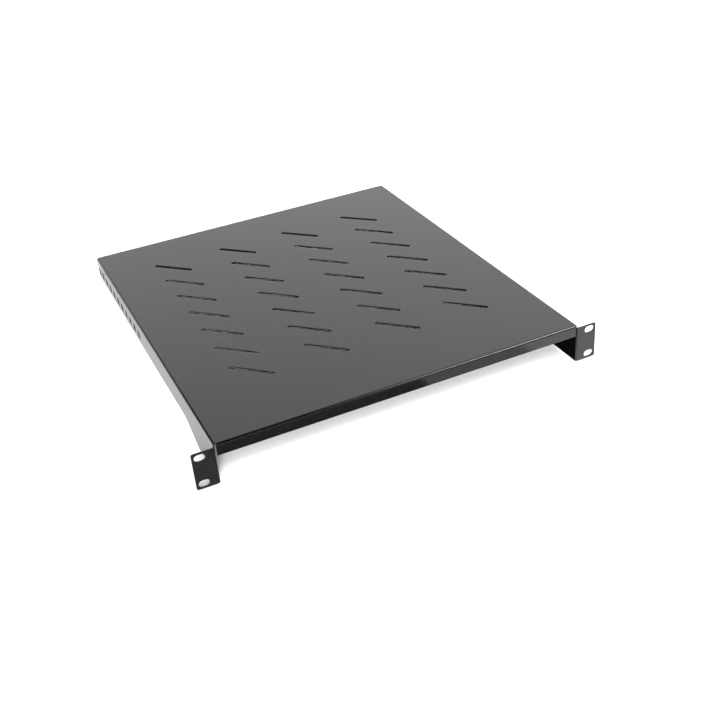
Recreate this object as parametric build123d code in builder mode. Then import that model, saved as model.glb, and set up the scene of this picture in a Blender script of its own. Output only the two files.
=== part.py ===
from build123d import *
import os

# Fixed rack shelf: one steel sheet, cut flat and folded into a tray with two rack ears.
# X runs across the rack, Y back into it and Z up, in millimetres.
# The origin is the middle of the plane where the ears seat on the rack's front posts,
# halfway between the upper and the lower row of screw slots.

os.makedirs("parts", exist_ok=True)

# Sheet and folds
sheet = 1.5                 # thickness of the steel
bend_inside = 1.0           # inside radius of every fold

# Tray
overall_depth = 495.0       # from the front of the lip to the outer face of the rear wall
tray_rise = 3.5             # the tray's top face above the top edge of the ears
lip_height = 14.0           # front lip, from the tray's top face to its lower edge
rear_height = 29.5          # rear wall and the long part of the side walls, the same way
fold_gap = 1.3              # from the end of the lip or rear wall to a side wall's inner face

# Foot of the side walls: deep behind the ears, then a taper up to the shallow part
deep_length = 66.5          # front face to where the taper starts
taper_length = 39.5         # along Y
foot_radius = 6.0           # rounding at both ends of the taper

# Ears
overall_width = 482.6       # across both ears
ear_reach = 24.3            # from a side wall's outer face to the end of its ear
ear_height = 44.0           # one rack unit, less its clearance
ear_corner = 2.0            # rounding of the two outer corners
screw_from_end = 8.75       # from the end of an ear to the middle of its slots
screw_from_edge = 6.125     # from an ear's upper or lower edge to the middle of a slot
screw_slot_length = 12.0
screw_slot_width = 8.0

# Vents in the tray
vent_length = 55.0
vent_width = 5.0
vent_slant = -45.0          # from the left rear to the right front
vent_columns = 4
vent_rows = 7
vent_column_pitch = 90.0
vent_row_pitch = 49.0
vent_first_row = 110.0      # front face to the middle of the first row

# Square holes in the side walls
square_size = 9.0
square_count = 11
square_pitch = 20.0
square_from_rear = 6.0      # rear face to the middle of the last hole
square_from_top = 18.0      # tray's top face to the middle of the row

# Places that follow from the sizes above
fold_outside = bend_inside + sheet
half_width = overall_width / 2
half_body = half_width - ear_reach
half_ear = ear_height / 2
screw_spacing = overall_width - 2 * screw_from_end   # 465.1, as 19 inch racks have it
screw_rise = ear_height - 2 * screw_from_edge        # 31.75, the outer holes of a rack unit
half_lip = half_body - sheet - fold_gap
top = half_ear + tray_rise
front = -sheet
rear = front + overall_depth
front_fold = front + fold_outside
rear_fold = rear - fold_outside
deep_foot = -half_ear
shallow_foot = top - rear_height
taper_start = front + deep_length
taper_end = taper_start + taper_length
vent_middle = front + vent_first_row + (vent_rows - 1) * vent_row_pitch / 2
square_middle = rear - square_from_rear - (square_count - 1) * square_pitch / 2
square_z = top - square_from_top


def folded_strip(plane, side, *points):
    """Section of a folded strip: its outer line through the points, one sheet thick."""
    with BuildSketch(plane) as section:
        with BuildLine():
            FilletPolyline(*points, radius=fold_outside)
            offset(amount=sheet, side=side)
        make_face()
    return section.sketch


with BuildPart() as shelf:
    # Tray and side walls, drawn at the rear face and pulled forward to the ears' fold
    channel = folded_strip(
        Plane.XZ.offset(-rear),
        Side.RIGHT,
        (-half_body, deep_foot),
        (-half_body, top),
        (half_body, top),
        (half_body, deep_foot),
    )
    extrude(channel, amount=rear - front_fold)

    # The walls' side view: deep at the ears, shallow behind the taper
    with BuildSketch(Plane.YZ):
        with BuildLine():
            foot = FilletPolyline(
                (front_fold, deep_foot),
                (taper_start, deep_foot),
                (taper_end, shallow_foot),
                (rear, shallow_foot),
                radius=foot_radius,
            )
            Polyline(foot @ 1, (rear, top), (front_fold, top), foot @ 0)
        make_face()
    extrude(amount=half_body, both=True, mode=Mode.INTERSECT)

    # Notch across the rear, where the tray and its long folds stop short of the rear wall's fold
    with BuildSketch(Plane.YZ):
        with Locations((rear, top)):
            Rectangle(fold_outside, fold_outside, align=(Align.MAX, Align.MAX))
    extrude(amount=half_body, both=True, mode=Mode.SUBTRACT)

    # Front lip and rear wall, folded down between the side walls
    lip = folded_strip(
        Plane.YZ,
        Side.LEFT,
        (front_fold + fold_outside, top),
        (front, top),
        (front, top - lip_height),
    )
    rear_wall = folded_strip(
        Plane.YZ,
        Side.RIGHT,
        (rear_fold - fold_outside, top),
        (rear, top),
        (rear, shallow_foot),
    )
    extrude(lip, amount=half_lip, both=True)
    extrude(rear_wall, amount=half_lip, both=True)

    # Ears, folded outwards from the front ends of the side walls
    for hand, side in ((-1, Side.RIGHT), (1, Side.LEFT)):
        wall_inside = hand * (half_body - sheet)
        ear = folded_strip(
            Plane.XY,
            side,
            (wall_inside, front_fold + fold_outside),
            (wall_inside, front),
            (hand * half_width, front),
        )
        extrude(ear, amount=half_ear, both=True)
    across = shelf.edges().filter_by(Axis.Y).group_by(Axis.X)
    fillet(across[0] + across[-1], radius=ear_corner)

    # Screw slots in the ears
    with BuildSketch(Plane.XZ):
        with GridLocations(screw_spacing, screw_rise, 2, 2):
            SlotOverall(screw_slot_length, screw_slot_width)
    extrude(amount=sheet, mode=Mode.SUBTRACT)

    # Slanted vents in the tray
    with BuildSketch(Plane.XY.offset(top)):
        with Locations((0, vent_middle)):
            with GridLocations(vent_column_pitch, vent_row_pitch, vent_columns, vent_rows):
                SlotOverall(vent_length, vent_width, rotation=vent_slant)
    extrude(amount=-sheet, mode=Mode.SUBTRACT)

    # Rows of square holes in both side walls
    for hand in (-1, 1):
        with BuildSketch(Plane.YZ.offset(hand * half_body)):
            with Locations((square_middle, square_z)):
                with GridLocations(square_pitch, 0, square_count, 1):
                    Rectangle(square_size, square_size)
        extrude(amount=-hand * sheet, mode=Mode.SUBTRACT)

shelf.part.label = "shelf"
export_step(shelf.part, "parts/shelf.step")
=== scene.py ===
import math
import bpy
from mathutils import Matrix, Vector
from mathutils.geometry import delaunay_2d_cdt


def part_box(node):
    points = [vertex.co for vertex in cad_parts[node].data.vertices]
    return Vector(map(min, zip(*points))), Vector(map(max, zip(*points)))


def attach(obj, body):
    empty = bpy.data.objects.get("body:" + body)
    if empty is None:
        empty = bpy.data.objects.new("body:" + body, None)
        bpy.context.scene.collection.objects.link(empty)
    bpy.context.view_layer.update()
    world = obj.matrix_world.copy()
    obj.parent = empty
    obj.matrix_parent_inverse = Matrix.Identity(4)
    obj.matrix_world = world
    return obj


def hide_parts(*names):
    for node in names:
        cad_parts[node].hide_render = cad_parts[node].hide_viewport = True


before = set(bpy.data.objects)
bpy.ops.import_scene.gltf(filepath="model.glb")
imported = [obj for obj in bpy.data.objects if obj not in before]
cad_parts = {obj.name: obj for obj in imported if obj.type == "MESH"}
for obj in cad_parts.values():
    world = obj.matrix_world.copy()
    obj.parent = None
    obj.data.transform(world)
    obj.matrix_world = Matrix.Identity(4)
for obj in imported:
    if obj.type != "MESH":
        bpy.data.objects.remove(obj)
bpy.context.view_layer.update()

# Fixed rack shelf, folded from one steel sheet and powder coated black.
# Everything is in the CAD's frame: X across the rack, Y back into it, Z up.

mm = 0.001
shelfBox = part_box("shelf")


def toLinear(hexColour):
    channels = [int(hexColour[i:i + 2], 16) / 255 for i in (1, 3, 5)]
    return [c / 12.92 if c <= 0.04045 else ((c + 0.055) / 1.055) ** 2.4 for c in channels] + [1.0]


def addNode(tree, kind, settings=None, links=None):
    # settings: node properties by name, or socket values by name or number. links: socket -> output
    node = tree.nodes.new(kind)
    for key, value in (settings or {}).items():
        if isinstance(key, str) and hasattr(node, key):
            setattr(node, key, value)
        else:
            node.inputs[key].default_value = value
    for key, output in (links or {}).items():
        tree.links.new(output, node.inputs[key])
    return node


# The shelf's sheet. It is drawn as the flat blank that the folding press gets, in mm, then folded up.
# u runs across the blank and v along it. Where the blank is not folded, u is X and v is Y.

sheet = {
    "thickness": 1.5,
    "bendInside": 1.0,
    "edgeRounding": 0.25,      # the coat rounds off every cut edge
    "foldGap": 1.3,            # from the ends of the lip and rear wall to a side wall
    "lipHeight": 14.0,
    "lipCorner": 0.6,
    "rearCorner": 0.6,
    "earReach": 24.3,          # from a side wall's outer face to the end of its ear
    "earHeight": 44.0,
    "earCorner": 2.0,
    "deepLength": 66.5,        # side walls: from the front to the taper
    "taperLength": 39.5,
    "footRadius": 6.0,
    "rearHeight": 29.5,
    "foldSteps": 12,
    "roundingSteps": 4,
    "arcStep": math.radians(12),
}
vents = {"length": 55.0, "width": 5.0, "slant": -45.0, "columns": 4, "rows": 7,
         "columnPitch": 90.0, "rowPitch": 49.0, "firstRow": 110.0}
squares = {"size": 9.0, "count": 11, "pitch": 20.0, "fromRear": 6.0, "fromTop": 18.0, "corner": 0.4}
screwSlots = {"length": 12.0, "width": 8.0, "fromEnd": 8.75, "fromEdge": 6.125}

outsideRadius = sheet["bendInside"] + sheet["thickness"]
trayArc = outsideRadius * math.pi / 2
earArc = (sheet["bendInside"] + sheet["thickness"] / 2) * math.pi / 2
low, high = shelfBox[0] / mm, shelfBox[1] / mm
halfBody = high.x - sheet["earReach"]
halfLip = halfBody - sheet["thickness"] - sheet["foldGap"]
trayHalf = halfBody - outsideRadius        # where the side folds start
frontFold = low.y + outsideRadius
rearFold = high.y - outsideRadius
foldTop = high.z - outsideRadius           # height of the folds' centre lines
wallStart = trayHalf + trayArc             # u where a side wall starts, just below its fold
earTop = wallStart + foldTop - sheet["earHeight"] / 2
earFoot = earTop + sheet["earHeight"]
shallowFoot = wallStart + foldTop - (high.z - sheet["rearHeight"])
earCentre = halfBody + sheet["bendInside"]
earEnd = frontFold - earArc - (high.x - earCentre)


def onSheet(u, v, depth):
    # The blank's point (u, v), folded up, at this depth below the outer face, and that face's normal
    hand = math.copysign(1, u)
    over = abs(u) - trayHalf
    if over > 0:
        turn = min(over / trayArc, 1) * math.pi / 2
        radius = outsideRadius - depth
        x = trayHalf + radius * math.sin(turn)
        z = foldTop + radius * math.cos(turn) - max(over - trayArc, 0)
        past = frontFold - v
        if past <= 0:
            return Vector((hand * x, v, z)), Vector((hand * math.sin(turn), 0, math.cos(turn)))
        turn = min(past / earArc, 1) * math.pi / 2
        radius = sheet["bendInside"] + depth
        x = earCentre - radius * math.cos(turn) + max(past - earArc, 0)
        y = frontFold - radius * math.sin(turn)
        return Vector((hand * x, y, z)), Vector((hand * math.cos(turn), math.sin(turn), 0))
    for way, fold in ((-1, frontFold), (1, rearFold)):
        past = way * (v - fold)
        if past > 0:
            turn = min(past / trayArc, 1) * math.pi / 2
            radius = outsideRadius - depth
            y = fold + way * radius * math.sin(turn)
            z = foldTop + radius * math.cos(turn) - max(past - trayArc, 0)
            return Vector((u, y, z)), Vector((0, way * math.sin(turn), math.cos(turn)))
    return Vector((u, v, high.z - depth)), Vector((0, 0, 1))


def roundedLoop(corners):
    # corners: (u, v, radius). Each becomes an arc, or stays a point where the radius is 0
    points = []
    for i, (u, v, radius) in enumerate(corners):
        here = Vector((u, v))
        before = (Vector(corners[i - 1][:2]) - here).normalized()
        after = (Vector(corners[(i + 1) % len(corners)][:2]) - here).normalized()
        opening = before.angle(after)
        if radius == 0:
            points.append(here)
            continue
        reach = radius / math.tan(opening / 2)
        centre = here + (before + after).normalized() * radius / math.sin(opening / 2)
        start = here + before * reach - centre
        bend = math.copysign(math.pi - opening, -before.cross(after))
        steps = max(2, math.ceil(abs(bend) / sheet["arcStep"]))
        for k in range(steps + 1):
            turn = bend * k / steps
            points.append(centre + Matrix.Rotation(turn, 2) @ start)
    return points


def slotLoop(centre, length, width, slant):
    # A round-ended slot, as one closed loop
    points = []
    radius = width / 2
    steps = math.ceil(math.pi / sheet["arcStep"])
    for end in (0, math.pi):
        middle = Matrix.Rotation(slant + end, 2) @ Vector((length / 2 - radius, 0))
        for k in range(steps + 1):
            turn = slant + end - math.pi / 2 + math.pi * k / steps
            points.append(Vector(centre) + middle + radius * Vector((math.cos(turn), math.sin(turn))))
    return points


def blankOutline():
    # Right half from the lip's end round to the rear wall's end, then the same on the left
    lipEnd = frontFold - trayArc - (sheet["lipHeight"] - outsideRadius)
    rearEnd = rearFold + trayArc + sheet["rearHeight"] - outsideRadius
    taperStart = low.y + sheet["deepLength"]
    half = [
        (halfLip, lipEnd, sheet["lipCorner"]),
        (halfLip, frontFold, 0),
        (earTop, frontFold, 0),
        (earTop, earEnd, sheet["earCorner"]),
        (earFoot, earEnd, sheet["earCorner"]),
        (earFoot, taperStart, sheet["footRadius"]),
        (shallowFoot, taperStart + sheet["taperLength"], sheet["footRadius"]),
        (shallowFoot, high.y, sheet["rearCorner"]),
        (wallStart, high.y, 0),
        (wallStart, rearFold, 0),
        (halfLip, rearFold, 0),
        (halfLip, rearEnd, sheet["rearCorner"]),
    ]
    return roundedLoop(half + [(-u, v, radius) for u, v, radius in reversed(half)])


def blankHoles():
    loops = []
    for row in range(vents["rows"]):
        for column in range(vents["columns"]):
            u = (column - (vents["columns"] - 1) / 2) * vents["columnPitch"]
            v = low.y + vents["firstRow"] + row * vents["rowPitch"]
            loops.append(slotLoop((u, v), vents["length"], vents["width"], math.radians(vents["slant"])))
    half = squares["size"] / 2
    for hand in (-1, 1):
        u = hand * (wallStart + foldTop - (high.z - squares["fromTop"]))
        for i in range(squares["count"]):
            v = high.y - squares["fromRear"] - i * squares["pitch"]
            loops.append(roundedLoop([(u + half * a, v + half * b, squares["corner"])
                                      for a, b in ((-1, -1), (1, -1), (1, 1), (-1, 1))]))
        v = earEnd + screwSlots["fromEnd"]
        for u in (earTop + screwSlots["fromEdge"], earFoot - screwSlots["fromEdge"]):
            loops.append(slotLoop((hand * u, v), screwSlots["length"], screwSlots["width"], math.pi / 2))
    return loops


def foldLines():
    # Lines across the blank where the press bends it, so that every fold is round
    lines = []
    steps = sheet["foldSteps"]
    hair = 0.01                # mm, so that no line ends on the outline
    pastFoot = earFoot + 5     # an ear's lines run off its foot
    for i in range(steps + 1):
        along = trayArc * i / steps
        for hand in (-1, 1):
            u = hand * (trayHalf + along)
            lines.append((Vector((u, frontFold + hair)), Vector((u, rearFold - hair))))
            ear = frontFold - earArc * i / steps
            lines.append((Vector((hand * (earTop - hair), ear)), Vector((hand * pastFoot, ear))))
        for v in (frontFold - along, rearFold + along):
            lines.append((Vector((-halfLip, v)), Vector((halfLip, v))))
    return lines


def outwards(loop, i):
    # In the blank, at corner i of a loop with the sheet on its left: the way out of the sheet, mitred
    before = (loop[i] - loop[i - 1]).normalized()
    after = (loop[(i + 1) % len(loop)] - loop[i]).normalized()
    a, b = Vector((before.y, -before.x)), Vector((after.y, -after.x))
    return (a + b) / (1 + a.dot(b))


def shrink(loop, amount):
    return [p - outwards(loop, i) * amount for i, p in enumerate(loop)]


def foldShelf():
    rounding = sheet["edgeRounding"]
    outline = shrink(blankOutline(), rounding)
    holes = [list(reversed(shrink(list(reversed(loop)), rounding))) for loop in blankHoles()]
    points, edges, faces = [], [], []
    for loop in [outline] + holes:
        faces.append(list(range(len(points), len(points) + len(loop))))
        points += loop
    for a, b in foldLines():
        edges.append((len(points), len(points) + 1))
        points += [a, b]
    # Sheet is what lies in loop 0, the outline, and in no other loop
    onlyInLoops = 1            # the kind of result
    samePoint = 1e-6           # mm. Points nearer than this are one
    flat, _, triangles, _, _, owners = delaunay_2d_cdt(points, edges, faces, onlyInLoops, samePoint)
    triangles = [t for t, owner in zip(triangles, owners) if list(owner) == [0]]
    print("blank:", len(points), "points in,", len(flat), "out,", len(triangles), "triangles")

    # Directed edges that only one triangle uses are the cut edges
    used = {(t[i], t[(i + 1) % 3]) for t in triangles for i in range(3)}
    following = {a: b for a, b in used if (b, a) not in used}
    leading = {b: a for a, b in following.items()}

    # Profile of a cut edge: how far out, how deep, and how its normal leans
    profile = []
    thickness = sheet["thickness"]
    for k in range(sheet["roundingSteps"] + 1):
        turn = math.pi / 2 * k / sheet["roundingSteps"]
        profile.append((rounding * math.sin(turn), rounding * (1 - math.cos(turn)), turn))
    profile += [(out, thickness - deep, math.pi - turn) for out, deep, turn in reversed(profile)]

    vertices, normals, polygons = [], [], []
    places = {}
    tinyStep = 0.001           # mm along the blank, to see which way it runs once it is folded

    def place(key, u, v, depth, turn=0, way=None):
        if key not in places:
            point, face = onSheet(u, v, depth)
            normal = face * math.cos(turn)
            if way is not None:
                step = way.normalized() * tinyStep
                ahead, _ = onSheet(u + step.x, v + step.y, depth)
                normal += (ahead - point).normalized() * math.sin(turn)
            places[key] = len(vertices)
            vertices.append(point * mm)
            normals.append(normal.normalized())
        return places[key]

    last = len(profile) - 1
    for t in triangles:
        polygons.append([place((i, 0), *flat[i], 0) for i in t])
        polygons.append([place((i, last), *flat[i], thickness, math.pi) for i in reversed(t)])
    for a, b in following.items():
        rings = []
        for i in (a, b):
            before, here, after = flat[leading[i]], flat[i], flat[following[i]]
            way = outwards([before, here, after], 1)
            rings.append([place((i, k), *(here + way * out), deep, turn, way)
                          for k, (out, deep, turn) in enumerate(profile)])
        for k in range(last):
            polygons.append([rings[1][k], rings[0][k], rings[0][k + 1], rings[1][k + 1]])

    mesh = bpy.data.meshes.new("shelfSheet")
    mesh.from_pydata(vertices, [], polygons)
    mesh.validate()
    mesh.shade_smooth()
    mesh.normals_split_custom_set_from_vertices(normals)
    shelf = bpy.data.objects.new("foldedShelf", mesh)
    bpy.context.scene.collection.objects.link(shelf)
    return shelf


# Powder coat: epoxy-polyester powder, sprayed on and baked at 180 to 200 degrees.
# It gives a nearly black satin skin with a fine orange peel and soft bright edges where it rounds over
# the cut.
# The peel's crests are painted a shade lighter than its pits: painted sparkle, for the light that the
# relief catches.

coat = {
    # The pit colour is the coat's own black. The crest colour, which the peel's crests turn to, is
    # painted sparkle.
    "pitColour": "#030303",
    "sparkleColour": "#121212",
    "sparkleHeights": (0.46, 0.72),    # heights of the peel, 0 to 1, between which one colour turns to the other
    "roughness": 0.10,
    "glossChange": 0.015,      # roughness, either way, over patches of patchSize
    "patchSize": 60,           # mm
    "patchRange": (0.3, 0.7),  # noise that gets the lowest and the highest roughness
    "ior": 1.5,
    "peelSize": 1.8,           # mm between the orange peel's bumps
    "peelDepth": 0.09,         # mm
    "grainSize": 0.9,          # mm. The real powder's grain is about 0.2 mm, too fine for the picture
    "grainDepth": 0.016,       # mm
}


def blackPowderCoat():
    material = bpy.data.materials.new("satinBlackPowderCoat")
    material.use_nodes = True
    tree = material.node_tree
    tree.nodes.clear()
    position = addNode(tree, "ShaderNodeTexCoord").outputs["Object"]
    patches = addNode(tree, "ShaderNodeTexNoise",
                      {"Scale": 1 / (coat["patchSize"] * mm), "Detail": 3.0},
                      {"Vector": position})
    start, end = coat["patchRange"]
    gloss = addNode(tree, "ShaderNodeMapRange",
                    {"From Min": start, "From Max": end,
                     "To Min": coat["roughness"] - coat["glossChange"],
                     "To Max": coat["roughness"] + coat["glossChange"]},
                    {"Value": patches.outputs["Fac"]})
    peel = addNode(tree, "ShaderNodeTexNoise",
                   {"Scale": 1 / (coat["peelSize"] * mm), "Detail": 1.0},
                   {"Vector": position})
    start, end = coat["sparkleHeights"]
    paintedSparkle = addNode(tree, "ShaderNodeMapRange",
                    {"From Min": start, "From Max": end},
                    {"Value": peel.outputs["Fac"]})
    # Painted sparkle: the peel's crests get the lighter colour, standing in for light that the relief
    # catches
    # Inputs 6 and 7 and output 2 are the mix node's colours, and input 0 its factor
    sparkleTint = addNode(tree, "ShaderNodeMix",
                   {"data_type": "RGBA",
                    6: toLinear(coat["pitColour"]), 7: toLinear(coat["sparkleColour"])},
                   {0: paintedSparkle.outputs["Result"]})
    grain = addNode(tree, "ShaderNodeTexNoise",
                    {"Scale": 1 / (coat["grainSize"] * mm), "Detail": 2.0},
                    {"Vector": position})
    grainBump = addNode(tree, "ShaderNodeBump",
                        {"Strength": 1.0, "Distance": coat["grainDepth"] * mm},
                        {"Height": grain.outputs["Fac"]})
    peelBump = addNode(tree, "ShaderNodeBump",
                       {"Strength": 1.0, "Distance": coat["peelDepth"] * mm},
                       {"Height": peel.outputs["Fac"], "Normal": grainBump.outputs["Normal"]})
    skin = addNode(tree, "ShaderNodeBsdfPrincipled",
                   {"IOR": coat["ior"], "Metallic": 0.0},
                   {"Base Color": sparkleTint.outputs[2], "Roughness": gloss.outputs["Result"],
                    "Normal": peelBump.outputs["Normal"]})
    addNode(tree, "ShaderNodeOutputMaterial", None, {"Surface": skin.outputs["BSDF"]})
    return material


shelf = foldShelf()
shelf.data.materials.append(blackPowderCoat())
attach(shelf, "root")
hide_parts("shelf")
print("shelf folded:", len(shelf.data.vertices), "vertices")


# Floor: pale paper that the shelf stands on, on its deep feet and the rear wall's edge.
# Just off it lie cards that only reflections see. They are painted shade, standing in for shaded floor
# where the coat reflects it. earShadeCard darkens the left ear's reflection, lipShadeCard and
# lipGreyShadeCard the lip's, wallShadeCard the right wall's inside, and leftWallShadeCard and
# rearShadeCard the left wall.
# left and right are X, and front and back are Y, in mm.

paper = {
    "floor": {"colour": "#f2f2f2", "left": -6000, "right": 6000, "front": -6000, "back": 6000},
    "earShadeCard": {"colour": "#8a8a8a", "left": -330, "right": -206, "front": -260, "back": -1.6},
    "lipShadeCard": {"colour": "#575757", "left": -206, "right": 52, "front": -260, "back": -1.6},
    "lipGreyShadeCard": {"colour": "#bababa", "left": 52, "right": 190, "front": -260, "back": -1.6},
    "wallShadeCard": {"colour": "#202020", "left": 60, "right": 214, "front": 1.0, "back": 140},
    "leftWallShadeCard": {"colour": "#e3e3e3", "left": -330, "right": -218, "front": -1.6, "back": 494},
    "rearShadeCard": {"colour": "#c6c6c6", "left": -700, "right": -218, "front": 494, "back": 1000},
}
paperHeight = {"floor": -0.05, "cards": 0.3}      # mm over the shelf's feet
paperFeel = {
    "roughness": 0.9,
    "fibreSize": 2.5,          # mm. Real fibres are about 0.03 mm thick, too fine for the picture
    "fibreDepth": 0.05,        # mm
    "bumpStrength": 0.1,
}


def mattPaper(name, colour):
    # Pressed wood fibre without a coating. It gives an even, dull white or grey with no shine
    material = bpy.data.materials.new(name)
    material.use_nodes = True
    tree = material.node_tree
    tree.nodes.clear()
    position = addNode(tree, "ShaderNodeTexCoord").outputs["Object"]
    fibre = addNode(tree, "ShaderNodeTexNoise",
                    {"Scale": 1 / (paperFeel["fibreSize"] * mm), "Detail": 4.0},
                    {"Vector": position})
    bump = addNode(tree, "ShaderNodeBump",
                   {"Strength": paperFeel["bumpStrength"], "Distance": paperFeel["fibreDepth"] * mm},
                   {"Height": fibre.outputs["Fac"]})
    skin = addNode(tree, "ShaderNodeBsdfPrincipled",
                   {"Base Color": toLinear(colour), "Roughness": paperFeel["roughness"],
                    "Specular IOR Level": 0.0},
                   {"Normal": bump.outputs["Normal"]})
    addNode(tree, "ShaderNodeOutputMaterial", None, {"Surface": skin.outputs["BSDF"]})
    return material


def layPaper(name):
    # The floor's plane goes through the ends of the deep feet and the rear wall's lower edge
    piece = paper[name]
    toe = Vector((0, low.y + sheet["deepLength"], low.z))
    heel = Vector((0, high.y, high.z - sheet["rearHeight"]))
    tilt = math.atan2(heel.z - toe.z, heel.y - toe.y)
    height = paperHeight["floor" if name == "floor" else "cards"]
    corners = [(piece[side], piece[end] - toe.y, height) for side, end in
               (("left", "front"), ("right", "front"), ("right", "back"), ("left", "back"))]
    mesh = bpy.data.meshes.new(name)
    mesh.from_pydata([Vector(corner) * mm for corner in corners], [], [(0, 1, 2, 3)])
    mesh.materials.append(mattPaper("mattPaper." + name, piece["colour"]))
    stage = bpy.data.objects.new(name, mesh)
    stage.matrix_world = Matrix.Translation(toe * mm) @ Matrix.Rotation(tilt, 4, "X")
    bpy.context.scene.collection.objects.link(stage)
    # The cards are painted shade: the camera doesn't see them, they cast no shadow and light nothing,
    # and they only darken reflections
    if name != "floor":
        stage.visible_camera = False
        stage.visible_shadow = False
        stage.visible_diffuse = False


for name in paper:
    layPaper(name)
print("floor laid")


# Camera, fitted to the photograph from the rack's standard sizes. Its angles are in degrees, and it
# sees what is between nearest and farthest, in metres.

view = {
    "place": (-404.85, -833.78, 631.97),    # mm
    "azimuth": 22.962,         # where it looks, from +Y towards +X
    "down": 31.878,
    "roll": -4.906,
    "lens": 52.318,            # mm
    "sensor": 36.0,            # mm
    "nearest": 0.01,
    "farthest": 50.0,
}


def photoCamera():
    azimuth, down, roll = (math.radians(view[key]) for key in ("azimuth", "down", "roll"))
    ahead = math.cos(down)
    forward = Vector((math.sin(azimuth) * ahead, math.cos(azimuth) * ahead, -math.sin(down)))
    level = Vector((math.cos(azimuth), -math.sin(azimuth), 0))
    right = level * math.cos(roll) + level.cross(forward) * math.sin(roll)
    up = right.cross(forward)
    data = bpy.data.cameras.new("photoCamera")
    data.lens = view["lens"]
    data.sensor_width = view["sensor"]
    data.clip_start = view["nearest"]
    data.clip_end = view["farthest"]
    camera = bpy.data.objects.new("photoCamera", data)
    turned = Matrix((right, up, -forward)).transposed().to_4x4()
    camera.matrix_world = Matrix.Translation(Vector(view["place"]) * mm) @ turned
    bpy.context.scene.collection.objects.link(camera)
    bpy.context.scene.camera = camera


photoCamera()
print("camera set")


# Studio: a pale paper sweep behind the shelf, a soft box on each side of the camera and a dim room
# elsewhere. Brightness 1 is white in the picture.

sweep = {
    "brightness": 1.34,
    "rightGain": 0.27,             # how much brighter it gets towards its right end
    "rightStart": (0.10, 0.65),    # X of the directions between which it does
    "leftEnd": (-0.56, -0.14),     # X of the directions between which it fades in from the left
    "frontEnd": (0.0, 0.5),        # Y of the directions between which it fades in from the front
    "topEnd": (0.50, 0.66),        # Z of the directions between which it fades out, where X is 0
    "topSlope": 0.45,              # how much higher its top edge is on the right
    "room": 0.04,
}
# Angles are in degrees, azimuth from +Y towards +X. A box has its full brightness up to the inner angle
# from its middle, and none past the outer one.
softBoxes = {
    "leftBox": {"azimuth": -147, "height": 44, "inner": 18, "outer": 26, "brightness": 8.6},
    "rightBox": {"azimuth": 125, "height": 47, "inner": 9, "outer": 17, "brightness": 16.8},
}


def towards(azimuth, height):
    turn, rise = math.radians(azimuth), math.radians(height)
    return Vector((math.sin(turn) * math.cos(rise), math.cos(turn) * math.cos(rise), math.sin(rise)))


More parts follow.
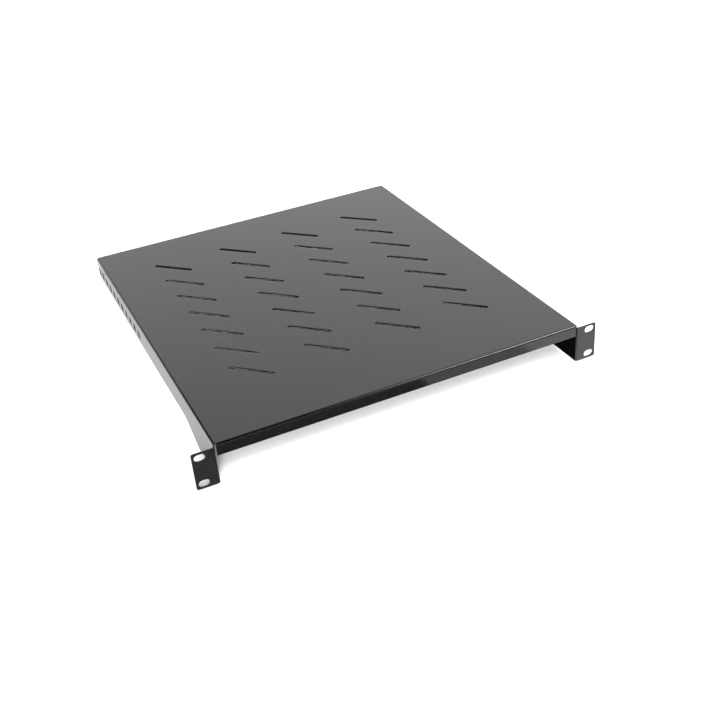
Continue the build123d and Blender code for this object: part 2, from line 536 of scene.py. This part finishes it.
def studioWorld():
    world = bpy.data.worlds.new("studioWorld")
    world.use_nodes = True
    tree = world.node_tree
    tree.nodes.clear()
    smooth = {"interpolation_type": "SMOOTHSTEP"}
    where = addNode(tree, "ShaderNodeTexCoord").outputs["Generated"]
    way = addNode(tree, "ShaderNodeSeparateXYZ", None, {0: where})

    # The sweep: brighter to the right, and fading out in front, at its top edge and at its left end
    start, end = sweep["rightStart"]
    gain = addNode(tree, "ShaderNodeMapRange",
                   {**smooth, "From Min": start, "From Max": end,
                    "To Min": sweep["brightness"],
                    "To Max": sweep["brightness"] + sweep["rightGain"]},
                   {"Value": way.outputs["X"]})
    start, end = sweep["frontEnd"]
    behind = addNode(tree, "ShaderNodeMapRange",
                     {**smooth, "From Min": start, "From Max": end},
                     {"Value": way.outputs["Y"]})
    lean = addNode(tree, "ShaderNodeMath",
                   {"operation": "MULTIPLY_ADD", 1: -sweep["topSlope"]},
                   {0: way.outputs["X"], 2: way.outputs["Z"]})
    start, end = sweep["topEnd"]
    below = addNode(tree, "ShaderNodeMapRange",
                    {**smooth, "From Min": start, "From Max": end, "To Min": 1.0, "To Max": 0.0},
                    {"Value": lean.outputs[0]})
    start, end = sweep["leftEnd"]
    across = addNode(tree, "ShaderNodeMapRange",
                     {**smooth, "From Min": start, "From Max": end},
                     {"Value": way.outputs["X"]})
    total = gain.outputs["Result"]
    for part in (behind, below, across):
        total = addNode(tree, "ShaderNodeMath",
                        {"operation": "MULTIPLY"},
                        {0: total, 1: part.outputs["Result"]}).outputs[0]
    total = addNode(tree, "ShaderNodeMath",
                    {"operation": "ADD", 1: sweep["room"]},
                    {0: total}).outputs[0]

    for box in softBoxes.values():
        middle = towards(box["azimuth"], box["height"])
        facing = addNode(tree, "ShaderNodeVectorMath",
                         {"operation": "DOT_PRODUCT", 1: middle},
                         {0: where})
        outer, inner = (math.cos(math.radians(box[edge])) for edge in ("outer", "inner"))
        lit = addNode(tree, "ShaderNodeMapRange",
                      {**smooth, "From Min": outer, "From Max": inner, "To Max": box["brightness"]},
                      {"Value": facing.outputs["Value"]})
        total = addNode(tree, "ShaderNodeMath",
                        {"operation": "ADD"},
                        {0: total, 1: lit.outputs["Result"]}).outputs[0]

    # The camera itself sees plain white past the floor's end. Input 3 is what it sees, and 2 what all
    # other rays do
    path = addNode(tree, "ShaderNodeLightPath")
    seen = addNode(tree, "ShaderNodeMix",
                   {"data_type": "FLOAT", 3: 1.0},
                   {0: path.outputs["Is Camera Ray"], 2: total})
    sky = addNode(tree, "ShaderNodeBackground",
                  {"Color": toLinear("#ffffff")},
                  {"Strength": seen.outputs[0]})
    addNode(tree, "ShaderNodeOutputWorld", None, {"Surface": sky.outputs["Background"]})
    bpy.context.scene.world = world


studioWorld()
bpy.context.scene.view_settings.view_transform = "Standard"
print("studio set")


# Fill light: a low, round soft box in front on the left, which lights the floor below the lip.
# It is turned off for reflections, or the coat would show it as a white patch.

fill = {
    "azimuth": -160,           # degrees from +Y towards +X
    "height": 19,              # degrees
    "distance": 4000,          # mm from the origin
    "width": 1250,             # mm
    "power": 240,              # W
}


def fillLight():
    way = towards(fill["azimuth"], fill["height"])
    data = bpy.data.lights.new("fillLight", "AREA")
    data.shape = "DISK"
    data.size = fill["width"] * mm
    data.energy = fill["power"]
    light = bpy.data.objects.new("fillLight", data)
    light.location = way * fill["distance"] * mm
    light.rotation_euler = way.to_track_quat("Z", "Y").to_euler()
    light.visible_camera = False
    light.visible_glossy = False
    bpy.context.scene.collection.objects.link(light)


fillLight()
print("fill light set")
